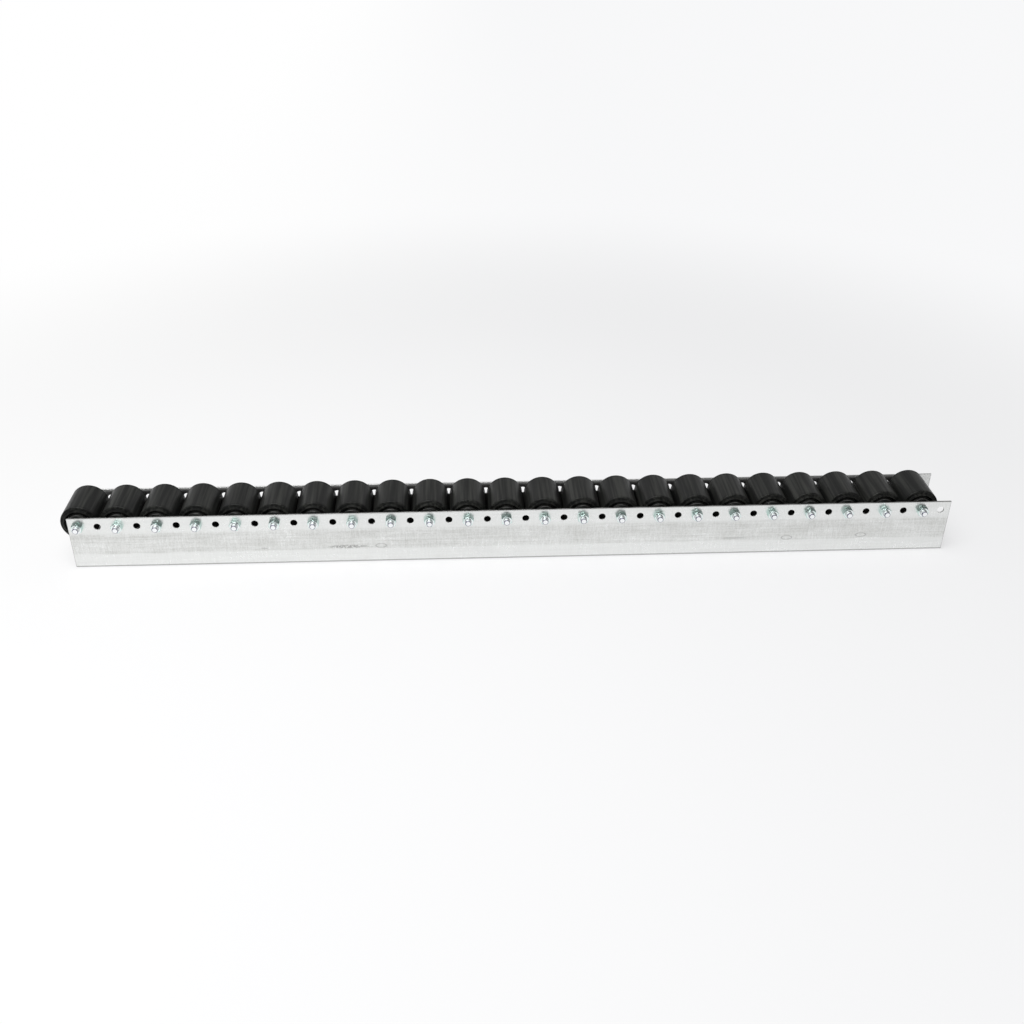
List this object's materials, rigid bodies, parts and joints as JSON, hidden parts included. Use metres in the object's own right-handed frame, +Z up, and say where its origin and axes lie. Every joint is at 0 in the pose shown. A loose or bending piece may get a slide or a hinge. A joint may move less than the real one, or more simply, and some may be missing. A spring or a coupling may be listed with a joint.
{
  "type": "roller track",
  "caption": "Straight gravity roller track: plastic rollers with ball bearings on through bolts in an open-topped folded steel channel with spare fixing holes.",
  "frame": {"origin": "centre of the channel's flat underside", "axes": "+X along the track, +Y across it towards the bolt heads, +Z up through the rollers"},
  "size_m": [1.1615, 0.0928, 0.0865],
  "materials": {
    "galvanised_sheet": "galvanised, satin, faint rolling streaks",
    "zinc_plated_steel": "bright zinc plate with a faint blue-green tint",
    "plain_steel": "cut steel tube, satin",
    "bearing_steel": "ground steel",
    "cage_nylon": "moulded nylon",
    "roller_plastic": "moulded, satin black, fine turning streaks"
  },
  "bodies": {
    "track_frame": {"channel": "galvanised_sheet", "axle_bolts": "zinc_plated_steel", "axle_nuts": "zinc_plated_steel", "axle_sleeves": "plain_steel", "spacer_collars": "plain_steel", "inner_races": "bearing_steel", "bearing_balls": "bearing_steel", "ball_cages": "cage_nylon"},
    "roller_unit_01": {"roller_01": "roller_plastic", "roller_bearings_01": "bearing_steel"},
    "roller_unit_02": {"roller_02": "roller_plastic", "roller_bearings_02": "bearing_steel"},
    "roller_unit_03": {"roller_03": "roller_plastic", "roller_bearings_03": "bearing_steel"},
    "roller_unit_04": {"roller_04": "roller_plastic", "roller_bearings_04": "bearing_steel"},
    "roller_unit_05": {"roller_05": "roller_plastic", "roller_bearings_05": "bearing_steel"},
    "roller_unit_06": {"roller_06": "roller_plastic", "roller_bearings_06": "bearing_steel"},
    "roller_unit_07": {"roller_07": "roller_plastic", "roller_bearings_07": "bearing_steel"},
    "roller_unit_08": {"roller_08": "roller_plastic", "roller_bearings_08": "bearing_steel"},
    "roller_unit_09": {"roller_09": "roller_plastic", "roller_bearings_09": "bearing_steel"},
    "roller_unit_10": {"roller_10": "roller_plastic", "roller_bearings_10": "bearing_steel"},
    "roller_unit_11": {"roller_11": "roller_plastic", "roller_bearings_11": "bearing_steel"},
    "roller_unit_12": {"roller_12": "roller_plastic", "roller_bearings_12": "bearing_steel"},
    "roller_unit_13": {"roller_13": "roller_plastic", "roller_bearings_13": "bearing_steel"},
    "roller_unit_14": {"roller_14": "roller_plastic", "roller_bearings_14": "bearing_steel"},
    "roller_unit_15": {"roller_15": "roller_plastic", "roller_bearings_15": "bearing_steel"},
    "roller_unit_16": {"roller_16": "roller_plastic", "roller_bearings_16": "bearing_steel"},
    "roller_unit_17": {"roller_17": "roller_plastic", "roller_bearings_17": "bearing_steel"},
    "roller_unit_18": {"roller_18": "roller_plastic", "roller_bearings_18": "bearing_steel"},
    "roller_unit_19": {"roller_19": "roller_plastic", "roller_bearings_19": "bearing_steel"},
    "roller_unit_20": {"roller_20": "roller_plastic", "roller_bearings_20": "bearing_steel"},
    "roller_unit_21": {"roller_21": "roller_plastic", "roller_bearings_21": "bearing_steel"},
    "roller_unit_22": {"roller_22": "roller_plastic", "roller_bearings_22": "bearing_steel"},
    "roller_unit_23": {"roller_23": "roller_plastic", "roller_bearings_23": "bearing_steel"}
  },
  "joints": [
    {"name": "roller_01_spin", "type": "hinge", "parent": "track_frame", "child": "roller_unit_01", "pos_m": [-0.5625, 0, 0.0625], "axis": [0, 1, 0], "continuous": true},
    {"name": "roller_02_spin", "type": "hinge", "parent": "track_frame", "child": "roller_unit_02", "pos_m": [-0.5125, 0, 0.0625], "axis": [0, 1, 0], "continuous": true},
    {"name": "roller_03_spin", "type": "hinge", "parent": "track_frame", "child": "roller_unit_03", "pos_m": [-0.4625, 0, 0.0625], "axis": [0, 1, 0], "continuous": true},
    {"name": "roller_04_spin", "type": "hinge", "parent": "track_frame", "child": "roller_unit_04", "pos_m": [-0.4125, 0, 0.0625], "axis": [0, 1, 0], "continuous": true},
    {"name": "roller_05_spin", "type": "hinge", "parent": "track_frame", "child": "roller_unit_05", "pos_m": [-0.3625, 0, 0.0625], "axis": [0, 1, 0], "continuous": true},
    {"name": "roller_06_spin", "type": "hinge", "parent": "track_frame", "child": "roller_unit_06", "pos_m": [-0.3125, 0, 0.0625], "axis": [0, 1, 0], "continuous": true},
    {"name": "roller_07_spin", "type": "hinge", "parent": "track_frame", "child": "roller_unit_07", "pos_m": [-0.2625, 0, 0.0625], "axis": [0, 1, 0], "continuous": true},
    {"name": "roller_08_spin", "type": "hinge", "parent": "track_frame", "child": "roller_unit_08", "pos_m": [-0.2125, 0, 0.0625], "axis": [0, 1, 0], "continuous": true},
    {"name": "roller_09_spin", "type": "hinge", "parent": "track_frame", "child": "roller_unit_09", "pos_m": [-0.1625, 0, 0.0625], "axis": [0, 1, 0], "continuous": true},
    {"name": "roller_10_spin", "type": "hinge", "parent": "track_frame", "child": "roller_unit_10", "pos_m": [-0.1125, 0, 0.0625], "axis": [0, 1, 0], "continuous": true},
    {"name": "roller_11_spin", "type": "hinge", "parent": "track_frame", "child": "roller_unit_11", "pos_m": [-0.0625, 0, 0.0625], "axis": [0, 1, 0], "continuous": true},
    {"name": "roller_12_spin", "type": "hinge", "parent": "track_frame", "child": "roller_unit_12", "pos_m": [-0.0125, 0, 0.0625], "axis": [0, 1, 0], "continuous": true},
    {"name": "roller_13_spin", "type": "hinge", "parent": "track_frame", "child": "roller_unit_13", "pos_m": [0.0375, 0, 0.0625], "axis": [0, 1, 0], "continuous": true},
    {"name": "roller_14_spin", "type": "hinge", "parent": "track_frame", "child": "roller_unit_14", "pos_m": [0.0875, 0, 0.0625], "axis": [0, 1, 0], "continuous": true},
    {"name": "roller_15_spin", "type": "hinge", "parent": "track_frame", "child": "roller_unit_15", "pos_m": [0.1375, 0, 0.0625], "axis": [0, 1, 0], "continuous": true},
    {"name": "roller_16_spin", "type": "hinge", "parent": "track_frame", "child": "roller_unit_16", "pos_m": [0.1875, 0, 0.0625], "axis": [0, 1, 0], "continuous": true},
    {"name": "roller_17_spin", "type": "hinge", "parent": "track_frame", "child": "roller_unit_17", "pos_m": [0.2375, 0, 0.0625], "axis": [0, 1, 0], "continuous": true},
    {"name": "roller_18_spin", "type": "hinge", "parent": "track_frame", "child": "roller_unit_18", "pos_m": [0.2875, 0, 0.0625], "axis": [0, 1, 0], "continuous": true},
    {"name": "roller_19_spin", "type": "hinge", "parent": "track_frame", "child": "roller_unit_19", "pos_m": [0.3375, 0, 0.0625], "axis": [0, 1, 0], "continuous": true},
    {"name": "roller_20_spin", "type": "hinge", "parent": "track_frame", "child": "roller_unit_20", "pos_m": [0.3875, 0, 0.0625], "axis": [0, 1, 0], "continuous": true},
    {"name": "roller_21_spin", "type": "hinge", "parent": "track_frame", "child": "roller_unit_21", "pos_m": [0.4375, 0, 0.0625], "axis": [0, 1, 0], "continuous": true},
    {"name": "roller_22_spin", "type": "hinge", "parent": "track_frame", "child": "roller_unit_22", "pos_m": [0.4875, 0, 0.0625], "axis": [0, 1, 0], "continuous": true},
    {"name": "roller_23_spin", "type": "hinge", "parent": "track_frame", "child": "roller_unit_23", "pos_m": [0.5375, 0, 0.0625], "axis": [0, 1, 0], "continuous": true}
  ]
}
